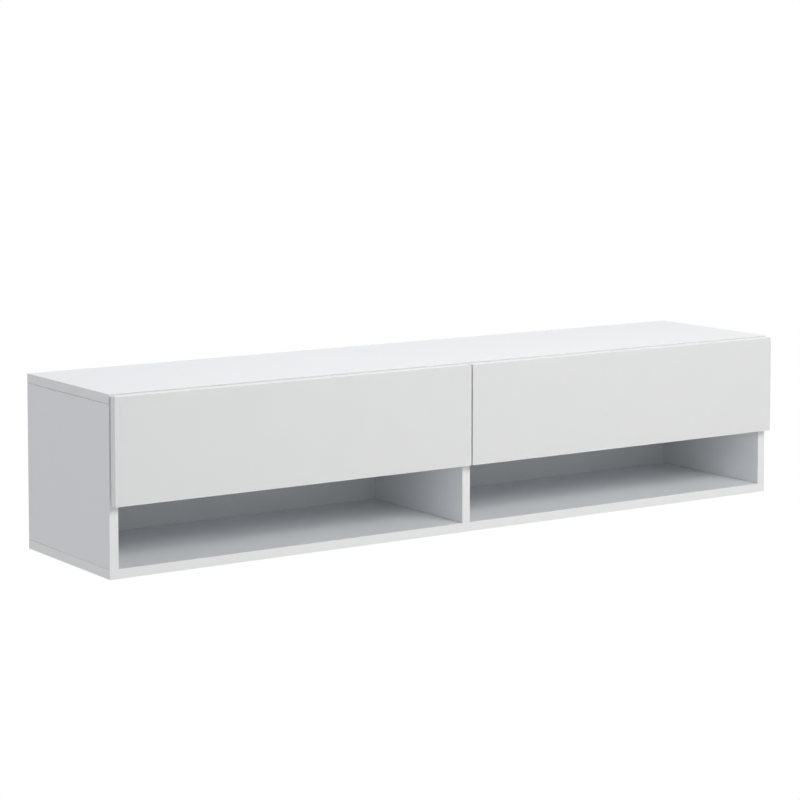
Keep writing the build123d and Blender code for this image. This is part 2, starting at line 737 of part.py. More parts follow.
def make_wall_rail():
    """Steel rail screwed to the wall: a flat web, a step forward and an upright lip for the hooks."""
    web = rail_web_half_height
    lip_y = -rail_thickness - rail_step
    points = [
        (0, -web),
        (0, web + rail_thickness),
        (lip_y + rail_thickness, web + rail_thickness),
        (lip_y + rail_thickness, lip_top_z),
        (lip_y, lip_top_z),
        (lip_y, web),
        (-rail_thickness, web),
        (-rail_thickness, -web),
    ]
    half_length = inner_x - rail_end_gap
    rail = profile_across(points, (-half_length, half_length))
    slot = extrude(Plane.XZ * SlotOverall(rail_slot_length, 2 * rail_slot_half_width), amount=rail_thickness)
    for spacing in (rail_outer_spacing, rail_inner_spacing):
        for side in (-1, 1):
            rail -= Pos(side * spacing / 2, 0, 0) * slot
    return rail


def fit_hanger(wall_x, side, board_name):
    """Adjustable hanger in a compartment's upper rear corner, hooked over the wall rail."""
    far_x = wall_x + side * hanger_width
    rear_y = back_face_y
    case_y = rear_y - hanger_depth
    low_z = ceiling_z - hanger_height
    case = block((wall_x, far_x), (case_y, rear_y), (low_z, ceiling_z))
    case -= block(
        (wall_x + side * hanger_wall, far_x - side * hanger_wall),
        (case_y + hanger_wall, rear_y),
        (low_z + hanger_wall, ceiling_z - hanger_wall / 2),
    )
    middle_x = (wall_x + far_x) / 2
    hook_x = (middle_x - hook_width / 2, middle_x + hook_width / 2)
    plate_y = case_y + hanger_wall + hanger_screw_head
    tip_rear = -rail_thickness - hook_lip_gap
    tip_front = tip_rear - (rail_step - rail_thickness - 2 * hook_lip_gap)
    hook = profile_across(
        [
            (plate_y, low_z + 2 * hanger_wall),
            (plate_y + hook_plate, low_z + 2 * hanger_wall),
            (plate_y + hook_plate, lip_top_z),
            (tip_front, lip_top_z),
            (tip_front, lip_top_z - hook_tip_length),
            (tip_rear, lip_top_z - hook_tip_length),
            (tip_rear, lip_top_z + hook_bar),
            (plate_y, lip_top_z + hook_bar),
        ],
        hook_x,
    )
    slot_z = (lip_top_z - hook_slot_play, lip_top_z + hook_bar + hook_slot_play)
    slot_x = (hook_x[0] - hook_slot_play, hook_x[1] + hook_slot_play)
    cut_in("back_panel", block(slot_x, (back_face_y, back_rear_y), slot_z))
    screw_middle = lip_top_z - hanger_screw_spacing / 2 - 2 * hanger_screw_radius
    for offset in (-1, 1):
        z = screw_middle + offset * hanger_screw_spacing / 2
        front = (middle_x, case_y, z)
        case -= peg(front, (0, 1, 0), hanger_port_radius, hanger_wall)
        shank_length = hanger_depth - 2 * hanger_wall
        screw = peg(front, (0, 1, 0), hanger_screw_head_radius, hanger_screw_head)
        screw += peg(front, (0, 1, 0), hanger_screw_radius, shank_length)
        add_fitting("hanger_screws", screw - drive_recess(front, (0, 1, 0), 0.0))
        hook -= peg((middle_x, plate_y, z), (0, 1, 0), hanger_screw_radius + screw_play, hook_plate)
        seat = (wall_x + side * hanger_wall, (case_y + rear_y) / 2, z - offset * hanger_screw_spacing / 4)
        case -= peg(seat, (-side, 0, 0), screw_radius + screw_play, hanger_wall)
        flat_head = peg(seat, (side, 0, 0), screw_head_radius, screw_head_height / 2)
        shank = peg(seat, (-side, 0, 0), screw_radius, screw_short_length + hanger_wall)
        add_fitting("cabinet_screws", flat_head + shank)
        cut_in(board_name, screw_bore((wall_x, seat[1], seat[2]), (-side, 0, 0), screw_short_length))
    cap = block((wall_x, far_x), (case_y - hanger_cap, case_y), (low_z, ceiling_z))
    add_fitting("hanger_caps", fillet(cap.edges().filter_by(Axis.X).group_by(Axis.Y)[0], hanger_cap / 2))
    add_fitting("hanger_housings", case)
    add_fitting("hanger_hooks", hook)


def make_left_fittings():
    """Every fitting that the left flap needs; the right flap has the same ones mirrored."""
    made = {}
    for name, place in hinge_places.items():
        made[f"left_{name}_hinge_cup"] = make_hinge_cup(place)
        made[f"left_{name}_hinge_arm"] = make_hinge_arm(place)
        made[f"left_{name}_hinge_plate"] = make_hinge_plate(place)
        add_fitting("left_hinge_pins", make_hinge_pin(place, hinge_pin_radius))
    made["left_stay_arm"] = make_stay_arm()
    made["left_stay_bracket"] = make_stay_bracket()
    made["left_latch_housing"] = make_latch_housing()
    made["left_latch_plunger"] = make_latch_plunger()
    made["left_latch_magnet"] = make_latch_magnet()
    made["left_latch_spring"] = make_latch_spring()
    made["left_strike_plate"] = make_strike_plate()
    add_fitting("left_flap_fixings", make_stay_rivet())
    add_fitting("stay_studs", make_stay_stud())
    add_fitting("stay_bushes", make_stay_bush())
    return made


def repeat_on_right(registry):
    """Mirror what the left side's fittings have noted, under the right side's names."""
    for name, shapes in list(registry.items()):
        right_name = name.replace("left_", "right_")
        registry[right_name] = registry.get(right_name, []) + [mirrored(shape) for shape in shapes]


def hang_on_rail():
    """One hanger in each upper rear corner of the two compartments."""
    fit_hanger(-inner_x, 1, "left_side")
    fit_hanger(-board / 2, -1, "centre_divider")
    fit_hanger(board / 2, 1, "centre_divider")
    fit_hanger(inner_x, -1, "right_side")


def join_boards():
    """Cams, bolts, dowels and screws between the boards of the carcass."""
    side_middle = (half_width + inner_x) / 2
    join_upright("left_side", -side_middle, 1)
    join_upright("right_side", side_middle, -1)
    join_upright("centre_divider", 0.0, -1)
    join_shelves()


nodes = make_left_fittings()
nodes.update({name.replace("left_", "right_"): mirrored(shape) for name, shape in nodes.items()})
repeat_on_right(cuts)
repeat_on_right(fittings)

boards, bands = make_carcass()
flap, flap_bands = make_flap()
boards.update({"left_flap": flap, "right_flap": mirrored(flap)})
bands.update({"left_flap_edge_bands": flap_bands, "right_flap_edge_bands": mirrored(flap_bands)})
join_boards()
hang_on_rail()

nodes["wall_rail"] = make_wall_rail()
nodes.update(bands)
nodes.update({name: shape - cuts[name] for name, shape in boards.items()})
nodes.update({name: group(solids) for name, solids in fittings.items()})

for name, shape in nodes.items():
    export_step(shape, f"parts/{name}.step")
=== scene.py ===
import bpy
import bmesh
import json
import math
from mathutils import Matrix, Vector


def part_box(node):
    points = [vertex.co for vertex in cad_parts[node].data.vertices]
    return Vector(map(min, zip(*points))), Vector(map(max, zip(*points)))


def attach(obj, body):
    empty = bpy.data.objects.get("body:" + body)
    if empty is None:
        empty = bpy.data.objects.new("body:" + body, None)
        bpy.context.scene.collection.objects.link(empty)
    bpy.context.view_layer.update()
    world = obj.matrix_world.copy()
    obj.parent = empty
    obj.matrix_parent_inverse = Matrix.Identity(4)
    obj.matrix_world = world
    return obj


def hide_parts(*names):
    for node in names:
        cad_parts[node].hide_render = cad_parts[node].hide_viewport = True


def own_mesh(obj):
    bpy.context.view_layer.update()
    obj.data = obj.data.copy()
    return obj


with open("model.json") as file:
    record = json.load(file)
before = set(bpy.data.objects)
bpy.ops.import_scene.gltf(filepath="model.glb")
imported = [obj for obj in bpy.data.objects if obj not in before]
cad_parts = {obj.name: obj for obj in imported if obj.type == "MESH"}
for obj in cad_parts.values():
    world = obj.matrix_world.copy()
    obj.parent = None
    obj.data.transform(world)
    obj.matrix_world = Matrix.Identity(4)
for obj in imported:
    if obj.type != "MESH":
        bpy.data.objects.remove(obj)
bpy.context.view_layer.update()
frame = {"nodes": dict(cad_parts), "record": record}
scene = bpy.context.scene
cadNodes = frame["nodes"]
cadBodies = frame["record"]["behaviour"]["bodies"]
mm = 0.001
sides = ("left", "right")
print("frame loaded:", len(cadNodes), "nodes")


def pairs(*names):
    return [f"{side}_{name}" for side in sides for name in names]


def hexColor(code):
    # sRGB hex to linear, fully opaque
    channels = [int(code[i:i + 2], 16) / 255 for i in (0, 2, 4)]
    linear = [c / 12.92 if c <= 0.04045 else ((c + 0.055) / 1.055) ** 2.4 for c in channels]
    return (*linear, 1.0)


def addNode(tree, kind, values=None, **settings):
    node = tree.nodes.new(kind)
    for key, value in settings.items():
        setattr(node, key, value)
    for key, value in (values or {}).items():
        if isinstance(value, bpy.types.NodeSocket):
            tree.links.new(value, node.inputs[key])
        else:
            node.inputs[key].default_value = value
    return node


def meshObject(name, mesh):
    thing = bpy.data.objects.new(name, mesh)
    scene.collection.objects.link(thing)
    return thing


def meshFrom(name, bm):
    bmesh.ops.recalc_face_normals(bm, faces=bm.faces)
    mesh = bpy.data.meshes.new(name)
    bm.to_mesh(mesh)
    bm.free()
    return meshObject(name, mesh)


def dropObject(thing):
    mesh = thing.data
    bpy.data.objects.remove(thing)
    if mesh.users == 0:
        bpy.data.meshes.remove(mesh)


def applied(thing):
    # turns the modifiers into a plain mesh and takes them off
    graph = bpy.context.evaluated_depsgraph_get()
    made = bpy.data.meshes.new_from_object(thing.evaluated_get(graph))
    thing.modifiers.clear()
    old = thing.data
    thing.data = made
    if old.users == 0:
        bpy.data.meshes.remove(old)
    return thing


def coat(thing, material):
    thing.data.materials.clear()
    thing.data.materials.append(material)


def finishOf(node):
    return cadNodes[node].data.materials[0]


def plainName(node):
    first, *rest = node.split("_")
    return first + "".join(word.title() for word in rest)


def emptyTree(owner):
    # the node tree of a material or a world, ready to be filled
    owner.use_nodes = True
    owner.node_tree.nodes.clear()
    return owner.node_tree


patterns = {  # shared by all finishes: the noises' fineness, and the part the sheen follows
    "mottleDetail": 3.0, "grainDetail": 2.0, "sheenFrom": 0.3, "sheenTo": 0.7, "relief": 1.0,
}


def surface(name, look):
    # one finish: a mottled colour, a roughness that varies with it, and a fine relief
    material = bpy.data.materials.new(name)
    tree = emptyTree(material)
    place = addNode(tree, "ShaderNodeTexCoord").outputs
    mottle = addNode(tree, "ShaderNodeTexNoise", {
        "Vector": place["Object"], "Scale": 1 / (look["mottleSize"] * mm),
        "Detail": patterns["mottleDetail"]})
    blend = addNode(tree, "ShaderNodeMix", {
        "Factor": mottle.outputs["Fac"], "A": hexColor(look["dark"]), "B": hexColor(look["light"])},
        data_type="RGBA")
    sheen = addNode(tree, "ShaderNodeMapRange", {
        "Value": mottle.outputs["Fac"], "From Min": patterns["sheenFrom"],
        "From Max": patterns["sheenTo"], "To Min": look["roughness"][0],
        "To Max": look["roughness"][1]})
    grain = addNode(tree, "ShaderNodeTexNoise", {
        "Vector": place["Object"], "Scale": 1 / (look["grainSize"] * mm),
        "Detail": patterns["grainDetail"]})
    relief = addNode(tree, "ShaderNodeBump", {
        "Height": grain.outputs["Fac"], "Distance": look["grainDepth"] * mm,
        "Strength": patterns["relief"]})
    shader = addNode(tree, "ShaderNodeBsdfPrincipled", {
        "Base Color": blend.outputs["Result"], "Roughness": sheen.outputs["Result"],
        "Normal": relief.outputs["Normal"], "Metallic": look.get("metallic", 0.0)})
    if "ior" in look:  # a metal keeps the default
        shader.inputs["IOR"].default_value = look["ior"]
    addNode(tree, "ShaderNodeOutputMaterial", {"Surface": shader.outputs["BSDF"]})
    return material, tree, shader, place


hingeParts = pairs(*(f"{place}_hinge_{part}" for place in ("outer", "inner")
                     for part in ("cup", "arm", "plate")))
finishes = {  # sizes of mottle and grain, and the grain's depth, in millimetres
    # melamine paper pressed on chipboard with a satin caul: an even white, faintly pearly
    "melamine": {
        "name": "satin_white_melamine", "light": "F1F3F5", "dark": "EEF0F2", "mottleSize": 60,
        "roughness": (0.38, 0.46), "grainSize": 0.9, "grainDepth": 0.006, "ior": 1.5},
    # the same paper on the flaps, a shade greyer as painted shade, so the carcass's edges stand out
    # beside them
    "flapMelamine": {
        "name": "satin_flap_melamine", "light": "EEEEEE", "dark": "EBEBEB", "mottleSize": 60,
        "roughness": (0.36, 0.44), "grainSize": 0.9, "grainDepth": 0.006, "ior": 1.5},
    # extruded edging: the board's white, a little smoother
    "edging": {
        "name": "extruded_white_abs_edging", "light": "F7F7F7", "dark": "F4F4F4", "mottleSize": 25,
        "roughness": (0.34, 0.42), "grainSize": 0.7, "grainDepth": 0.004, "ior": 1.5,
        "nodes": ["bottom_edge_bands", "upright_edge_bands", "shelf_edge_bands"]},
    # the flaps' edging, greyer as painted shade, so that their rims don't shine out round their
    # faces
    "flapEdging": {
        "name": "extruded_flap_abs_edging", "light": "F1F1F1", "dark": "EEEEEE", "mottleSize": 25,
        "roughness": (0.34, 0.42), "grainSize": 0.7, "grainDepth": 0.004, "ior": 1.5,
        "nodes": pairs("flap_edge_bands")},
    # the top board's edging, greyer, and darker on its front faces: painted shade, the fine line
    # between top and flaps
    "topEdging": {
        "name": "extruded_grey_white_abs_edging", "light": "F1F1F1", "dark": "EEEEEE",
        "mottleSize": 25, "roughness": (0.34, 0.42), "grainSize": 0.7, "grainDepth": 0.004,
        "ior": 1.5, "frontTone": "EAEAEA", "nodes": ["top_edge_bands"]},
    # moulded plastic with a fine spark-eroded texture
    "whiteAbs": {
        "name": "moulded_white_abs", "light": "F2F2F0", "dark": "ECECEA", "mottleSize": 8,
        "roughness": (0.38, 0.5), "grainSize": 0.4, "grainDepth": 0.02, "ior": 1.54,
        "nodes": ["cam_caps", "hanger_caps", "hanger_housings"]},
    # moulded acetal of the push latches and bushes, slightly waxy
    "greyAcetal": {
        "name": "moulded_grey_acetal", "light": "9A9D9F", "dark": "8C8F91", "mottleSize": 6,
        "roughness": (0.32, 0.42), "grainSize": 0.4, "grainDepth": 0.015, "ior": 1.48,
        "nodes": ["stay_bushes", *pairs("latch_housing", "latch_plunger")]},
    # nickel-plated pressed steel: warm bright metal with faint press marks
    "nickelSteel": {
        "name": "nickel_plated_pressed_steel", "light": "D6D3CC", "dark": "C2BFB8",
        "mottleSize": 5, "roughness": (0.2, 0.34), "grainSize": 0.5, "grainDepth": 0.01,
        "metallic": 1.0, "nodes": ["hinge_screws", *hingeParts, *pairs("hinge_pins")]},
    # bright zinc-plated steel: cooler and duller, with a bloom
    "zincSteel": {
        "name": "bright_zinc_plated_steel", "light": "CDD3D6", "dark": "A9B1B6",
        "mottleSize": 4, "roughness": (0.3, 0.46), "grainSize": 0.5, "grainDepth": 0.012,
        "metallic": 1.0,
        "nodes": ["wall_rail", "stay_studs", "hanger_hooks", "hanger_screws", "cabinet_screws",
                  "board_screws", "cam_bolts",
                  *pairs("flap_fixings", "stay_arm", "stay_bracket", "strike_plate")]},
    # die-cast zinc alloy, as cast: grey and grainy
    "castZinc": {
        "name": "die_cast_zinc_alloy", "light": "B4B6B7", "dark": "98999B", "mottleSize": 3,
        "roughness": (0.42, 0.58), "grainSize": 0.35, "grainDepth": 0.03, "metallic": 1.0,
        "nodes": ["cam_housings"]},
    # oil-tempered spring wire: dark, drawn smooth
    "springWire": {
        "name": "oil_tempered_spring_wire", "light": "8C8F93", "dark": "6A6D72",
        "mottleSize": 2, "roughness": (0.25, 0.38), "grainSize": 0.3, "grainDepth": 0.01,
        "metallic": 1.0, "nodes": pairs("latch_spring")},
    # nickel-plated sintered magnet: a duller, darker metal than the steel around it
    "magnet": {
        "name": "nickel_plated_magnet", "light": "A5A6A8", "dark": "8E8F92", "mottleSize": 2,
        "roughness": (0.24, 0.4), "grainSize": 0.4, "grainDepth": 0.015, "metallic": 1.0,
        "nodes": pairs("latch_magnet")},
    # turned beech: pale brown with short dark flecks
    "beech": {
        "name": "turned_beech", "light": "DDBE93", "dark": "BC935F", "mottleSize": 2.5,
        "roughness": (0.55, 0.7), "grainSize": 0.5, "grainDepth": 0.05, "ior": 1.5,
        "nodes": ["dowels"]},
}
faceLimit = 0.5  # how far a face has to turn towards a side to belong to it


def rearMask(tree, place, rearY):
    # 1 on faces that look backwards at the board's rear, 0 elsewhere
    normal = addNode(tree, "ShaderNodeSeparateXYZ", {"Vector": place["Normal"]})
    spot = addNode(tree, "ShaderNodeSeparateXYZ", {"Vector": place["Object"]})
    looksBack = addNode(tree, "ShaderNodeMath", {0: normal.outputs["Y"], 1: faceLimit},
                        operation="GREATER_THAN")
    atRear = addNode(tree, "ShaderNodeMath", {0: spot.outputs["Y"], 1: rearY},
                     operation="GREATER_THAN")
    both = addNode(tree, "ShaderNodeMath", {0: looksBack.outputs[0], 1: atRear.outputs[0]},
                   operation="MULTIPLY")
    return both, spot


def paintOver(tree, shader, mask, color, roughness):
    # lays a second colour and roughness over a finish where the mask is 1
    base = shader.inputs["Base Color"].links[0].from_socket
    rough = shader.inputs["Roughness"].links[0].from_socket
    colors = addNode(tree, "ShaderNodeMix", {"Factor": mask, "A": base, "B": color},
                     data_type="RGBA")
    roughs = addNode(tree, "ShaderNodeMix", {"Factor": mask, 2: rough, 3: roughness})
    tree.links.new(colors.outputs["Result"], shader.inputs["Base Color"])
    tree.links.new(roughs.outputs[0], shader.inputs["Roughness"])


chipLook = {  # in millimetres: the raw core, seen on the rear edges, which have no edging
    "face": "B8935F", "chipDark": "8A6238", "chipLight": "DABD8B", "fine": 1.1, "coarse": 3.2,
    "fineFrom": 0.35, "fineBy": 0.65, "skin": 0.35, "rearDepth": 0.7, "roughness": 0.85,
}


def melamineBoard(name, look, axis, low, high, rearY):
    # the board's white faces, and its chipboard core on the raw rear edge between the paper skins
    material, tree, shader, place = surface(name, look)
    rear, spot = rearMask(tree, place, rearY)
    middle, half = (low + high) / 2, (high - low) / 2
    offset = addNode(tree, "ShaderNodeMath", {0: spot.outputs[axis], 1: middle},
                     operation="SUBTRACT")
    away = addNode(tree, "ShaderNodeMath", {0: offset.outputs[0]}, operation="ABSOLUTE")
    inside = addNode(tree, "ShaderNodeMath", {
        0: away.outputs[0], 1: half - chipLook["skin"] * mm}, operation="LESS_THAN")
    raw = addNode(tree, "ShaderNodeMath", {0: inside.outputs[0], 1: rear.outputs[0]},
                  operation="MULTIPLY")
    tones = []
    for size in ("coarse", "fine"):  # coarse chips in the middle of the core, fine ones outside
        chips = addNode(tree, "ShaderNodeTexVoronoi", {
            "Vector": place["Object"], "Scale": 1 / (chipLook[size] * mm)})
        split = addNode(tree, "ShaderNodeSeparateColor", {"Color": chips.outputs["Color"]})
        tones.append(split.outputs["Red"])
    layer = addNode(tree, "ShaderNodeMapRange", {
        "Value": away.outputs[0], "From Min": half * chipLook["fineFrom"],
        "From Max": half * chipLook["fineBy"]})
    tone = addNode(tree, "ShaderNodeMix", {
        "Factor": layer.outputs["Result"], 2: tones[0], 3: tones[1]})
    ramp = addNode(tree, "ShaderNodeValToRGB", {"Fac": tone.outputs[0]})
    ramp.color_ramp.elements[0].color = hexColor(chipLook["chipDark"])
    ramp.color_ramp.elements[1].color = hexColor(chipLook["chipLight"])
    ramp.color_ramp.elements.new(0.5).color = hexColor(chipLook["face"])
    paintOver(tree, shader, raw.outputs[0], ramp.outputs["Color"], chipLook["roughness"])
    return material


backLook = {  # in millimetres: white lacquer in front, bare brown hardboard behind
    "light": "EFF1F3", "dark": "EAECEE", "mottleSize": 40, "roughness": (0.45, 0.55),
    "grainSize": 0.8, "grainDepth": 0.01, "ior": 1.5, "bareLight": "A07C55", "bareDark": "7A5836",
    "bareRoughness": 0.62, "fibreSize": 6, "fibreDetail": 8.0, "fibreHarshness": 0.7, "skin": 0.3,
}


def hardboard(name, rearY):
    material, tree, shader, place = surface(name, backLook)
    rear, _ = rearMask(tree, place, rearY)
    fibre = addNode(tree, "ShaderNodeTexNoise", {
        "Vector": place["Object"], "Scale": 1 / (backLook["fibreSize"] * mm),
        "Detail": backLook["fibreDetail"], "Roughness": backLook["fibreHarshness"]})
    brown = addNode(tree, "ShaderNodeMix", {
        "Factor": fibre.outputs["Fac"], "A": hexColor(backLook["bareDark"]),
        "B": hexColor(backLook["bareLight"])}, data_type="RGBA")
    paintOver(tree, shader, rear.outputs[0], brown.outputs["Result"], backLook["bareRoughness"])
    return material


for look in finishes.values():
    if "nodes" not in look:  # the boards' finishes are made board by board
        continue
    material, tree, shader, place = surface(look["name"], look)
    # faces that look to the front get a darker tone: painted shade for the line under the top
    if "frontTone" in look:
        normal = addNode(tree, "ShaderNodeSeparateXYZ", {"Vector": place["Normal"]})
        paintedShadeFront = addNode(tree, "ShaderNodeMath", {0: normal.outputs["Y"], 1: -faceLimit},
                          operation="LESS_THAN")
        paintOver(tree, shader, paintedShadeFront.outputs[0], hexColor(look["frontTone"]),
                  look["roughness"][1])
    for node in look["nodes"]:
        coat(cadNodes[node], material)
boardAxes = {  # the way each board's thickness lies
    "top_panel": "Z", "bottom_panel": "Z", "left_side": "X", "right_side": "X",
    "centre_divider": "X", "left_shelf": "Z", "right_shelf": "Z", "left_flap": "Y",
    "right_flap": "Y",
}
flapNodes = pairs("flap")
noRawEdge = 1.0  # a place behind everything, for a board that is edged all round
for node, axis in boardAxes.items():
    low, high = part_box(node)
    rearY = noRawEdge if node in flapNodes else high.y - chipLook["rearDepth"] * mm
    axisNumber = "XYZ".index(axis)
    look = finishes["flapMelamine" if node in flapNodes else "melamine"]
    board = melamineBoard(f"{look['name']}_{node}", look, axis, low[axisNumber],
                          high[axisNumber], rearY)
    coat(cadNodes[node], board)
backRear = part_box("back_panel")[1].y
coat(cadNodes["back_panel"], hardboard("lacquered_hardboard", backRear - backLook["skin"] * mm))


def placePiece(thing, node):
    body = next(name for name, members in cadBodies.items() if node in members)
    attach(thing, body)
    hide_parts(node)


easing = {  # lengths in millimetres, angles in degrees; the radii go by how a piece is made
    "merge": 0.002, "flat": 0.6, "segments": 2, "sharp": 38, "shade": 32,
    "hairline": 0.4,  # what a board falls short at its joints, which leaves a fine dark line
    "shortened": {"left_side": "Z", "right_side": "Z", "centre_divider": "Z", "left_shelf": "X",
                  "right_shelf": "X"},
    "pieces": {
        0.45: ["left_side", "right_side", "centre_divider", "left_shelf", "right_shelf"],
        0.3: ["top_panel", "bottom_panel", "wall_rail", "hanger_housings",
              *pairs("latch_housing")],
        0.25: ["hanger_hooks",
               *pairs("stay_bracket", "stay_arm", "outer_hinge_arm", "inner_hinge_arm")],
        0.2: ["stay_studs", *pairs("outer_hinge_cup", "inner_hinge_cup", "outer_hinge_plate",
                                   "inner_hinge_plate", "strike_plate", "latch_plunger")],
    },
}


def mergedCopy(node):
    bm = bmesh.new()
    bm.from_mesh(cadNodes[node].data)
    bmesh.ops.remove_doubles(bm, verts=bm.verts, dist=easing["merge"] * mm)
    return bm


def shortenedEnds(bm, node):
    axis = "XYZ".index(easing["shortened"][node])
    for end, inwards in zip(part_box(node), (1, -1)):
        for vert in bm.verts:
            if abs(vert.co[axis] - end[axis]) < easing["merge"] * mm:
                vert.co[axis] += inwards * easing["hairline"] * mm


def easedPiece(node, ease):
    # the CAD piece with its sharp edges broken, as sawing, pressing or moulding leaves them
    bm = mergedCopy(node)
    if node in easing["shortened"]:
        shortenedEnds(bm, node)
    bmesh.ops.dissolve_limit(bm, angle_limit=math.radians(easing["flat"]), verts=bm.verts,
                             edges=bm.edges)
    thing = meshFrom(plainName(node), bm)
    bevel = thing.modifiers.new("easedEdges", "BEVEL")
    bevel.width = ease * mm
    bevel.segments = easing["segments"]
    bevel.limit_method = "ANGLE"
    bevel.angle_limit = math.radians(easing["sharp"])
    applied(thing)
    coat(thing, finishOf(node))
    thing.data.shade_smooth()
    thing.data.set_sharp_from_angle(angle=math.radians(easing["shade"]))
    even = thing.modifiers.new("evenNormals", "WEIGHTED_NORMAL")  # large faces stay flat
    even.keep_sharp = True
    applied(thing)
    placePiece(thing, node)


for ease, nodes in easing["pieces"].items():
    for node in nodes:
        easedPiece(node, ease)
    print("eased by", ease, "mm:", len(nodes), "pieces")


def islands(node):
    # the separate solids of a node, each as its list of points
    bm = mergedCopy(node)
    seen, found = set(), []
    for start in bm.verts:
        if start in seen:
            continue
        stack, points = [start], []
        seen.add(start)
        while stack:
            vert = stack.pop()
            points.append(vert.co.copy())
            for edge in vert.link_edges:
                other = edge.other_vert(vert)
                if other not in seen:
                    seen.add(other)
                    stack.append(other)
        found.append(points)
    bm.free()
    return found


endSlice = 0.05  # millimetres from an end within which a point belongs to it


def fastenerSeat(points):
    # centre of the wider end, the way it faces, the radius there and the length
    low = Vector([min(p[i] for p in points) for i in range(3)])
    high = Vector([max(p[i] for p in points) for i in range(3)])
    size = high - low
    middle = sorted(size)[1]
    axis = max(range(3), key=lambda i: abs(size[i] - middle))
    centre = (low + high) / 2
    reach = {}
    for end, value in ((-1, low[axis]), (1, high[axis])):
        close = [p for p in points if abs(p[axis] - value) < endSlice * mm]
        reach[end] = max((p - centre).length_squared - (p[axis] - centre[axis]) ** 2
                         for p in close)
    end = max(reach, key=reach.get)
    top = centre.copy()
    top[axis] = high[axis] if end > 0 else low[axis]
    facing = Vector((0, 0, 0))
    facing[axis] = end
    return top, facing, math.sqrt(reach[end]), size[axis]


def lathe(name, rows, segments, reachAt=None):
    # closed turned shape; each row starts with its radius and height, and a threaded row goes on
    # with the thread's depth and the turns so far; reachAt says how deep threads or flutes cut
    bm = bmesh.new()
    rings = []
    for row in rows:
        if row[0] == 0:
            rings.append([bm.verts.new((0, 0, row[1]))])
            continue
        ring = []
        for step in range(segments):
            share = step / segments
            reach = row[0] - (reachAt(row, share) if reachAt else 0.0)
            angle = 2 * math.pi * share
            ring.append(bm.verts.new((reach * math.cos(angle), reach * math.sin(angle), row[1])))
        rings.append(ring)
    for upper, lower in zip(rings, rings[1:]):
        for step in range(segments):
            after = (step + 1) % segments
            corners = [upper[step % len(upper)], lower[step % len(lower)],
                       lower[after % len(lower)], upper[after % len(upper)]]
            unique = list(dict.fromkeys(corners))
            if len(unique) > 2:
                bm.faces.new(unique)
    thing = meshFrom(name, bm)
    thing.data.shade_smooth()
    return thing


turning = {  # how finely the turned models are made; angles in degrees, lengths in millimetres
    "screwSides": 20, "rivetSides": 28, "capSides": 36, "headSteps": 4, "headFullness": 0.9,
    "stepsPerPitch": 4, "threadPower": 3, "tipFlat": 0.1, "crispFrom": 40, "cutterRise": 0.3,
    "cutterTaper": 0.55, "rivetBow": (25, 50, 72), "capRings": (0.35, 0.65, 0.88), "rimShare": 0.3,
}


def crossCutter(name, look):
    # tapered cross, a little above the head so that the cut is clean
    half, arm, depth = look["slotHalf"] * mm, look["slotArm"] * mm, look["slotDepth"] * mm
    outline = [(arm, half), (half, half), (half, arm), (-half, arm), (-half, half), (-arm, half),
               (-arm, -half), (-half, -half), (-half, -arm), (half, -arm), (half, -half),
               (arm, -half)]
    rise, taper = turning["cutterRise"] * mm, turning["cutterTaper"]
    bm = bmesh.new()
    top = [bm.verts.new((x, y, rise)) for x, y in outline]
    low = [bm.verts.new((x * taper, y * taper, -depth)) for x, y in outline]
    bm.faces.new(top)
    bm.faces.new(list(reversed(low)))
    for i in range(len(outline)):
        j = (i + 1) % len(outline)
        bm.faces.new((top[i], low[i], low[j], top[j]))
    return meshFrom(name, bm)


def threadCut(row, share):
    # how deep the thread cuts at this height and this share of a turn
    if len(row) < 4:
        return 0.0
    wave = abs((share + row[3]) % 1.0 - 0.5) * 2
    return row[2] * (1 - wave ** turning["threadPower"])


def screwModel(name, look, radius, length):
    # origin at the top of the head, shank downwards; the head is domed, flat or sunk
    head, shank, dome = look["head"] * mm, look["shank"] * mm, look["dome"] * mm
    rows = [(0, 0)]
    for step in range(1, turning["headSteps"] + 1):
        bow = step / turning["headSteps"] * math.pi / 2
        rows.append((radius * math.sin(bow) ** turning["headFullness"],
                     -dome * (1 - math.cos(bow))))
    rows.append((radius, -head * look["rim"]))
    rows.append((shank, -head))
    pitch, crest, tip = look["pitch"] * mm, look["crest"] * mm, look["tip"] * mm
    threaded = length - head - tip
    steps = max(2, round(threaded / (pitch / turning["stepsPerPitch"])))
    for step in range(steps + 1):
        height = head + step * threaded / steps
        rows.append((shank, -height, crest if step else 0.0, height / pitch))
    rows.append((shank * look["point"], -length + turning["tipFlat"] * mm))
    rows.append((0, -length))
    model = lathe(name, rows, turning["screwSides"], threadCut)
    cutter = crossCutter(name + "Cross", look)
    cut = model.modifiers.new("recess", "BOOLEAN")
    cut.operation, cut.solver, cut.object = "DIFFERENCE", "EXACT", cutter
    applied(model)
    dropObject(cutter)
    model.data.set_sharp_from_angle(angle=math.radians(turning["crispFrom"]))
    return model


def rivetModel(name, look, radius, length):
    # two domed heads on a plain shank
    shank, head = look["shank"] * mm, look["head"] * mm
    bow = [(radius * math.sin(a), head * (1 - math.cos(a)))
           for a in (math.radians(d) for d in turning["rivetBow"])]
    rows = [(0, 0)] + [(r, -h) for r, h in bow]
    rows += [(radius, -head), (shank, -head), (shank, head - length), (radius, head - length)]
    rows += [(r, h - length) for r, h in reversed(bow)] + [(0, -length)]
    return lathe(name, rows, turning["rivetSides"])


def dowelModel(name, look, radius, length):
    # fluted pin with chamfered ends
    chamfer, depth = look["chamfer"] * mm, look["fluteDepth"] * mm
    ends = [(radius - chamfer, 0), (radius, chamfer), (radius, length - chamfer),
            (radius - chamfer, length)]
    rows = [(0, 0)] + [(r, -h) for r, h in ends] + [(0, -length)]

    def fluteCut(row, share):
        return depth * (round(share * look["flutes"] * 2) % 2)

    return lathe(name, rows, look["flutes"] * 2, fluteCut)


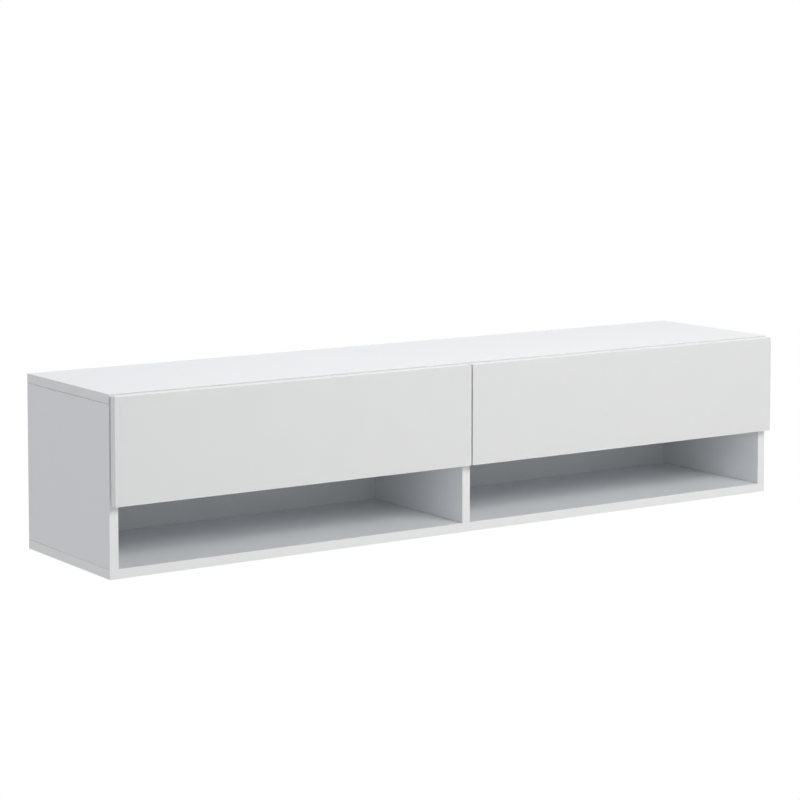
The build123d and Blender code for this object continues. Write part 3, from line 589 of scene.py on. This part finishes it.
def capModel(name, look, radius, length):
    # snap-on cover, domed a little, with a rounded rim
    dome, edge = look["dome"] * mm, look["edge"] * mm
    chamfer = edge * turning["rimShare"]
    rows = [(0, 0)] + [(radius * s, -dome * s * s) for s in turning["capRings"]]
    rows += [(radius - chamfer, -dome - chamfer), (radius, -dome - edge), (radius, -length),
             (0, -length)]
    return lathe(name, rows, turning["capSides"])


def nodeGroup(name, inputs, result):
    # a Geometry Nodes group with named inputs and one shape as its result
    tree = bpy.data.node_groups.new(name, "GeometryNodeTree")
    for label, kind in inputs.items():
        tree.interface.new_socket(label, in_out="INPUT", socket_type="NodeSocket" + kind)
    tree.interface.new_socket(result, in_out="OUTPUT", socket_type="NodeSocketGeometry")
    return tree, addNode(tree, "NodeGroupInput").outputs


def runNodes(thing, tree, values):
    # lays the group over the mesh with these inputs and keeps the result as a plain mesh
    nodes = thing.modifiers.new(tree.name, "NODES")
    nodes.node_group = tree
    sockets = {item.name: item.identifier for item in tree.interface.items_tree
               if item.item_type == "SOCKET" and item.in_out == "INPUT"}
    for label, value in values.items():
        nodes[sockets[label]] = value
    return applied(thing)


def seatTree():
    # one model on each seat, turned to its facing and spun by a seeded amount
    tree, given = nodeGroup("fastenersOnSeats", {
        "Seats": "Geometry", "Model": "Object", "Finish": "Material", "Largest Turn": "Float",
        "Seed": "Int"}, "Fasteners")
    facing = addNode(tree, "GeometryNodeInputNamedAttribute", {"Name": "facing"},
                     data_type="FLOAT_VECTOR")
    aim = addNode(tree, "FunctionNodeAlignRotationToVector", {
        "Vector": facing.outputs["Attribute"]}, axis="Z")
    spin = addNode(tree, "FunctionNodeRandomValue", {
        "Max": given["Largest Turn"], "Seed": given["Seed"]}, data_type="FLOAT")
    turn = addNode(tree, "ShaderNodeCombineXYZ", {"Z": spin.outputs[1]})
    local = addNode(tree, "FunctionNodeEulerToRotation", {0: turn.outputs[0]})
    both = addNode(tree, "FunctionNodeRotateRotation", {0: aim.outputs[0], 1: local.outputs[0]},
                   rotation_space="LOCAL")
    model = addNode(tree, "GeometryNodeObjectInfo", {"Object": given["Model"]})
    points = addNode(tree, "GeometryNodeMeshToPoints", {0: given["Seats"]})
    placed = addNode(tree, "GeometryNodeInstanceOnPoints", {
        "Points": points.outputs[0], "Instance": model.outputs["Geometry"],
        "Rotation": both.outputs[0]})
    real = addNode(tree, "GeometryNodeRealizeInstances", {0: placed.outputs[0]})
    dressed = addNode(tree, "GeometryNodeSetMaterial", {
        "Geometry": real.outputs[0], "Material": given["Finish"]})
    addNode(tree, "NodeGroupOutput", {0: dressed.outputs[0]})
    return tree


fastenerTree = seatTree()


def onSeats(name, seats, model, material, largestTurn, seed):
    mesh = bpy.data.meshes.new(name)
    mesh.from_pydata([tuple(top) for top, *_ in seats], [], [])
    facing = mesh.attributes.new("facing", "FLOAT_VECTOR", "POINT")
    facing.data.foreach_set("vector", [value for seat in seats for value in seat[1]])
    thing = runNodes(meshObject(name, mesh), fastenerTree, {
        "Model": model, "Finish": material, "Largest Turn": largestTurn, "Seed": seed})
    dropObject(model)
    return thing


def joined(name, parts):
    bm = bmesh.new()
    for part in parts:
        bm.from_mesh(part.data)
    mesh = bpy.data.meshes.new(name)
    bm.to_mesh(mesh)
    bm.free()
    for material in parts[0].data.materials:
        mesh.materials.append(material)
    for part in parts:
        dropObject(part)
    return meshObject(name, mesh)


fastenerLooks = {  # in millimetres; each kind serves the solids of its head radius and length
    "chipboardScrew": {
        "make": screwModel, "size": (4.8, 50.0), "head": 3.5, "dome": 0.15, "rim": 0.25,
        "shank": 2.9, "pitch": 3.0, "crest": 0.8, "tip": 4.0, "point": 0.35, "slotHalf": 0.55,
        "slotArm": 2.6, "slotDepth": 2.2},
    "panHeadScrew": {
        "make": screwModel, "size": (3.7, 14.2), "head": 2.2, "dome": 0.9, "rim": 0.8,
        "shank": 1.85, "pitch": 1.6, "crest": 0.45, "tip": 1.2, "point": 0.4, "slotHalf": 0.45,
        "slotArm": 1.9, "slotDepth": 1.5},
    "hingeSetScrew": {
        "make": screwModel, "size": (3.7, 7.2), "head": 2.2, "dome": 0.6, "rim": 0.85,
        "shank": 1.85, "pitch": 0.8, "crest": 0.25, "tip": 0.5, "point": 0.85, "slotHalf": 0.5,
        "slotArm": 2.2, "slotDepth": 1.4},
    "waferHeadScrew": {
        "make": screwModel, "size": (3.7, 10.1), "head": 1.1, "dome": 0.45, "rim": 0.8,
        "shank": 1.85, "pitch": 1.6, "crest": 0.45, "tip": 1.2, "point": 0.4, "slotHalf": 0.4,
        "slotArm": 1.7, "slotDepth": 0.9},
    "sunkScrew": {
        "make": screwModel, "size": (3.7, 12.0), "head": 1.5, "dome": 0.05, "rim": 0.15,
        "shank": 1.85, "pitch": 1.6, "crest": 0.45, "tip": 1.2, "point": 0.4, "slotHalf": 0.45,
        "slotArm": 1.8, "slotDepth": 1.2},
    "hangerScrew": {
        "make": screwModel, "size": (3.2, 38.0), "head": 3.0, "dome": 0.7, "rim": 0.85,
        "shank": 2.45, "pitch": 0.9, "crest": 0.3, "tip": 0.8, "point": 0.85, "slotHalf": 0.5,
        "slotArm": 2.1, "slotDepth": 1.6},
    "stayRivet": {"make": rivetModel, "size": (5.0, 7.6), "head": 1.5, "shank": 2.95},
    "beechDowel": {
        "make": dowelModel, "size": (4.0, 30.0), "chamfer": 1.0, "flutes": 16,
        "fluteDepth": 0.3},
    "camCap": {"make": capModel, "size": (8.8, 1.0), "dome": 0.35, "edge": 0.3},
}
fastenerNodes = ["board_screws", "hinge_screws", "cabinet_screws", "hanger_screws",
                 *pairs("flap_fixings"), "dowels", "cam_caps"]
spinSeed = 7
screwTurn = math.pi / 2  # a cross recess looks the same after a quarter turn
for node in fastenerNodes:
    groups = {}
    for points in islands(node):
        seat = fastenerSeat(points)
        misfit = {kind: sum(abs(size - real / mm) for size, real in zip(look["size"], seat[2:]))
                  for kind, look in fastenerLooks.items()}
        groups.setdefault(min(misfit, key=misfit.get), []).append(seat)
    parts = []
    for kind, seats in groups.items():
        look = fastenerLooks[kind]
        radius, length = seats[0][2:]
        model = look["make"](kind + "Model", look, radius, length)
        largestTurn = screwTurn if look["make"] == screwModel else 0.0
        parts.append(onSeats(kind + "Part", seats, model, finishOf(node), largestTurn, spinSeed))
    placePiece(joined(plainName(node), parts), node)
    print(plainName(node), {kind: len(seats) for kind, seats in groups.items()})

springLook = {  # the wire's radius and the latch's stroke are in millimetres
    "wire": 0.35, "turns": 12, "deadTurns": 1.0, "perTurn": 20, "wireSides": 10, "stroke": 3.0,
}
springSteps = (  # each value with its operation and what goes in
    ("turned", "MULTIPLY", "share", "turns"),        # turns so far
    ("wire", "MULTIPLY", "thin", "two"),
    ("closed", "MULTIPLY", "wire", "turned"),        # rise if every turn lay on the last
    ("deadBoth", "MULTIPLY", "dead", "two"),
    ("live", "SUBTRACT", "turns", "deadBoth"),
    ("stack", "MULTIPLY", "wire", "turns"),
    ("solid", "ADD", "stack", "wire"),
    ("open", "SUBTRACT", "length", "solid"),         # what the live turns share out between them
    ("liveSoFar", "SUBTRACT", "turned", "dead"),
    ("liveShare", "DIVIDE", "liveSoFar", "live"),
    ("over", "MAXIMUM", "liveShare", "zero"),
    ("held", "MINIMUM", "over", "one"),
    ("spread", "MULTIPLY", "held", "open"),
    ("climb", "ADD", "closed", "spread"),
    ("rise", "ADD", "climb", "thin"),
    ("angle", "MULTIPLY", "turned", "fullTurn"),
    ("cosine", "COSINE", "angle", "zero"),
    ("sine", "SINE", "angle", "zero"),
    ("across", "MULTIPLY", "radius", "cosine"),
    ("up", "MULTIPLY", "radius", "sine"),
)


def springTree():
    # a compression spring along +Y from its seat, with its end turns closed up
    tree, given = nodeGroup("closedEndSpring", {
        "Base": "Geometry", "Seat": "Vector", "Length": "Float", "Coil Radius": "Float",
        "Wire Radius": "Float", "Turns": "Float", "Dead Turns": "Float", "Points": "Int",
        "Wire Sides": "Int", "Finish": "Material"}, "Spring")
    line = addNode(tree, "GeometryNodeCurvePrimitiveLine", {"End": (1.0, 0.0, 0.0)})
    fine = addNode(tree, "GeometryNodeResampleCurve", {
        "Curve": line.outputs[0], "Count": given["Points"]})
    along = addNode(tree, "GeometryNodeSplineParameter")
    value = {"share": along.outputs["Factor"], "turns": given["Turns"],
             "dead": given["Dead Turns"], "thin": given["Wire Radius"],
             "length": given["Length"], "radius": given["Coil Radius"],
             "zero": 0.0, "one": 1.0, "two": 2.0, "fullTurn": 2 * math.pi}
    for name, operation, first, second in springSteps:
        step = addNode(tree, "ShaderNodeMath", {0: value[first], 1: value[second]},
                       operation=operation)
        value[name] = step.outputs[0]
    place = addNode(tree, "ShaderNodeCombineXYZ", {
        "X": value["across"], "Y": value["rise"], "Z": value["up"]})
    seated = addNode(tree, "ShaderNodeVectorMath", {0: place.outputs[0], 1: given["Seat"]},
                     operation="ADD")
    coil = addNode(tree, "GeometryNodeSetPosition", {
        "Geometry": fine.outputs[0], "Position": seated.outputs[0]})
    ring = addNode(tree, "GeometryNodeCurvePrimitiveCircle", {
        "Resolution": given["Wire Sides"], "Radius": given["Wire Radius"]})
    solid = addNode(tree, "GeometryNodeCurveToMesh", {
        "Curve": coil.outputs[0], "Profile Curve": ring.outputs[0], "Fill Caps": True})
    real = addNode(tree, "GeometryNodeRealizeInstances", {0: solid.outputs[0]})
    smooth = addNode(tree, "GeometryNodeSetShadeSmooth", {0: real.outputs[0]})
    dressed = addNode(tree, "GeometryNodeSetMaterial", {
        "Geometry": smooth.outputs[0], "Material": given["Finish"]})
    addNode(tree, "NodeGroupOutput", {0: dressed.outputs[0]})
    return tree


coilTree = springTree()
for node, joint in zip(pairs("latch_spring"), pairs("latch_press")):
    low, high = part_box(node)
    middle = (low + high) / 2
    length = high.y - low.y
    wire = springLook["wire"] * mm
    base = meshObject(plainName(node), bpy.data.meshes.new(plainName(node)))
    spring = runNodes(base, coilTree, {
        "Seat": (middle.x, low.y, middle.z), "Length": length,
        "Coil Radius": (high.x - low.x) / 2 - wire, "Wire Radius": wire,
        "Turns": float(springLook["turns"]), "Dead Turns": springLook["deadTurns"],
        "Points": springLook["turns"] * springLook["perTurn"],
        "Wire Sides": springLook["wireSides"], "Finish": finishOf(node)})
    placePiece(spring, node)
    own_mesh(spring)
print("springs coiled")

studio = {"worldLevel": 0.35, "worldTint": "F3F5F8", "white": (1, 1, 1, 1), "whiteLevel": 1.0}


def backdropRays(tree):
    # 1 for rays that show the backdrop, straight, in a gloss or through glass
    path = addNode(tree, "ShaderNodeLightPath").outputs
    seen = addNode(tree, "ShaderNodeMath", {0: path["Is Camera Ray"], 1: path["Is Glossy Ray"]},
                   operation="MAXIMUM")
    seenAll = addNode(tree, "ShaderNodeMath", {
        0: seen.outputs[0], 1: path["Is Transmission Ray"]}, operation="MAXIMUM")
    return seenAll.outputs[0]


world = bpy.data.worlds.new("whiteStudio")
scene.world = world
tree = emptyTree(world)
soft = addNode(tree, "ShaderNodeBackground", {
    "Color": hexColor(studio["worldTint"]), "Strength": studio["worldLevel"]})
white = addNode(tree, "ShaderNodeBackground", {
    "Color": studio["white"], "Strength": studio["whiteLevel"]})
choice = addNode(tree, "ShaderNodeMixShader", {
    0: backdropRays(tree), 1: soft.outputs[0], 2: white.outputs[0]})
addNode(tree, "ShaderNodeOutputWorld", {"Surface": choice.outputs[0]})

lamps = {
    "overheadSoftbox": {
        "place": (-0.05, 0.2, 3.4), "aim": (-0.05, -0.15, -0.05), "size": (3.2, 2.0),
        "watts": 46.5, "tint": "FDFEFF", "glossy": True},
    "frontSoftbox": {  # kept out of the gloss, where its glare would burn out the top from behind
        "place": (0.7, -2.9, 1.7), "aim": (0.0, -0.2, -0.1), "size": (2.2, 1.2),
        "watts": 56, "tint": "FFFEFD", "glossy": False},
    "leftSoftbox": {
        "place": (-3.9, -0.9, 0.3), "aim": (-0.3, -0.2, -0.15), "size": (1.6, 1.4),
        "watts": 17, "tint": "FEFEFF", "glossy": True},
}
for name, lamp in lamps.items():
    data = bpy.data.lights.new(name, "AREA")
    data.shape = "RECTANGLE"
    data.size, data.size_y = lamp["size"]
    data.energy = lamp["watts"]
    data.color = hexColor(lamp["tint"])[:3]
    thing = bpy.data.objects.new(name, data)
    scene.collection.objects.link(thing)
    thing.location = lamp["place"]
    aim = Vector(lamp["aim"]) - Vector(lamp["place"])
    thing.rotation_euler = aim.to_track_quat("-Z", "Y").to_euler()
    thing.visible_glossy = lamp["glossy"]

floorLook = {  # in metres: the shadow shows near the centre and fades to white further off
    "centre": (0.0, -0.15, -1.3), "half": 6.0, "squares": 12, "keep": 0.4, "fade": 1.2,
    "lift": 0.5, "paint": "F2F2F2",
}
bm = bmesh.new()
bmesh.ops.create_grid(bm, x_segments=floorLook["squares"], y_segments=floorLook["squares"],
                      size=floorLook["half"])
bmesh.ops.translate(bm, verts=bm.verts, vec=floorLook["centre"])
floor = meshFrom("studioFloor", bm)
floorPaint = bpy.data.materials.new("matt_white_floor")
tree = emptyTree(floorPaint)
place = addNode(tree, "ShaderNodeTexCoord").outputs
distance = addNode(tree, "ShaderNodeVectorMath", {0: place["Object"], 1: floorLook["centre"]},
                   operation="DISTANCE")
far = addNode(tree, "ShaderNodeMapRange", {
    "Value": distance.outputs["Value"], "From Min": floorLook["keep"],
    "From Max": floorLook["fade"], "To Min": floorLook["lift"]})
share = addNode(tree, "ShaderNodeMath", {0: far.outputs["Result"], 1: backdropRays(tree)},
                operation="MULTIPLY")
matt = addNode(tree, "ShaderNodeBsdfDiffuse", {"Color": hexColor(floorLook["paint"])})
glow = addNode(tree, "ShaderNodeEmission", {
    "Color": studio["white"], "Strength": studio["whiteLevel"]})
mixed = addNode(tree, "ShaderNodeMixShader", {
    0: share.outputs[0], 1: matt.outputs[0], 2: glow.outputs[0]})
addNode(tree, "ShaderNodeOutputMaterial", {"Surface": mixed.outputs[0]})
coat(floor, floorPaint)

cameraLook = {  # metres, degrees and millimetres
    "place": (-2.5065, -3.8075, 0.6183), "yaw": 33.983, "pitch": -4.231, "lens": 111.73,
    "sensor": 36, "shift": -0.225,
}
camera = bpy.data.cameras.new("viewpoint")
camera.lens = cameraLook["lens"]
camera.sensor_width = cameraLook["sensor"]
camera.shift_y = cameraLook["shift"]
viewpoint = bpy.data.objects.new("viewpoint", camera)
scene.collection.objects.link(viewpoint)
viewpoint.location = cameraLook["place"]
viewpoint.rotation_euler = (math.radians(90 + cameraLook["pitch"]), 0,
                            math.radians(-cameraLook["yaw"]))
scene.camera = viewpoint
scene.view_settings.view_transform = "Standard"
print("light, floor and camera set")
